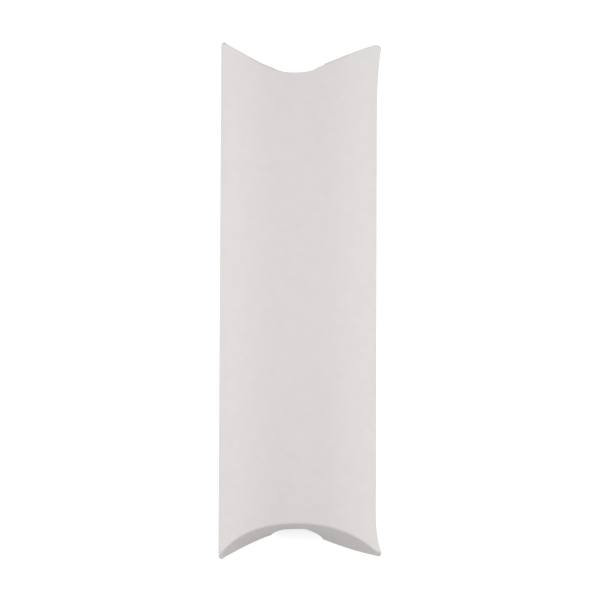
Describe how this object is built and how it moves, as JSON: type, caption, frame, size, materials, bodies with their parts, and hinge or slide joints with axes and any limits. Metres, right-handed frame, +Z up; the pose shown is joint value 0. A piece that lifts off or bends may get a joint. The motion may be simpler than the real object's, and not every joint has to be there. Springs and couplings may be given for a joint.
{
  "type": "pillow box",
  "caption": "Small folding gift box of plain white board with arched panels, pointed side corners and curved end flaps that tuck in, each closed by a flap with a round thumb notch.",
  "frame": {"origin": "on the surface the box lies on, under the middle of the box", "axes": "+Z up out of the front panel's crown, +Y along the length towards the head end, +X towards the glued side seam"},
  "size_m": [0.064, 0.2086, 0.025],
  "materials": {
    "white_board": "matt uncoated white board",
    "adhesive": "dried glue film"
  },
  "bodies": {
    "sleeve": {"front_panel": "white_board", "back_panel": "white_board", "glue_flap": "white_board", "glue_line": "adhesive"},
    "foot_outer_flap": {"foot_outer_flap": "white_board"},
    "foot_inner_flap": {"foot_inner_flap": "white_board"},
    "head_outer_flap": {"head_outer_flap": "white_board"},
    "head_inner_flap": {"head_inner_flap": "white_board"}
  },
  "joints": [
    {"name": "foot_outer_crease", "type": "hinge", "parent": "sleeve", "child": "foot_outer_flap", "pos_m": [0, -0.09228, 0.02477], "axis": [-1, 0, 0], "range_deg": [0, 135]},
    {"name": "foot_inner_crease", "type": "hinge", "parent": "sleeve", "child": "foot_inner_flap", "pos_m": [0, -0.09228, 0.00022], "axis": [1, 0, 0], "range_deg": [0, 94.5]},
    {"name": "head_outer_crease", "type": "hinge", "parent": "sleeve", "child": "head_outer_flap", "pos_m": [0, 0.09228, 0.00022], "axis": [-1, 0, 0], "range_deg": [0, 135]},
    {"name": "head_inner_crease", "type": "hinge", "parent": "sleeve", "child": "head_inner_flap", "pos_m": [0, 0.09228, 0.02477], "axis": [1, 0, 0], "range_deg": [0, 94.5]}
  ],
  "couplings": [
    {"joint": "foot_inner_crease", "follows": "foot_outer_crease", "ratio": 0.7},
    {"joint": "head_inner_crease", "follows": "head_outer_crease", "ratio": 0.7}
  ]
}
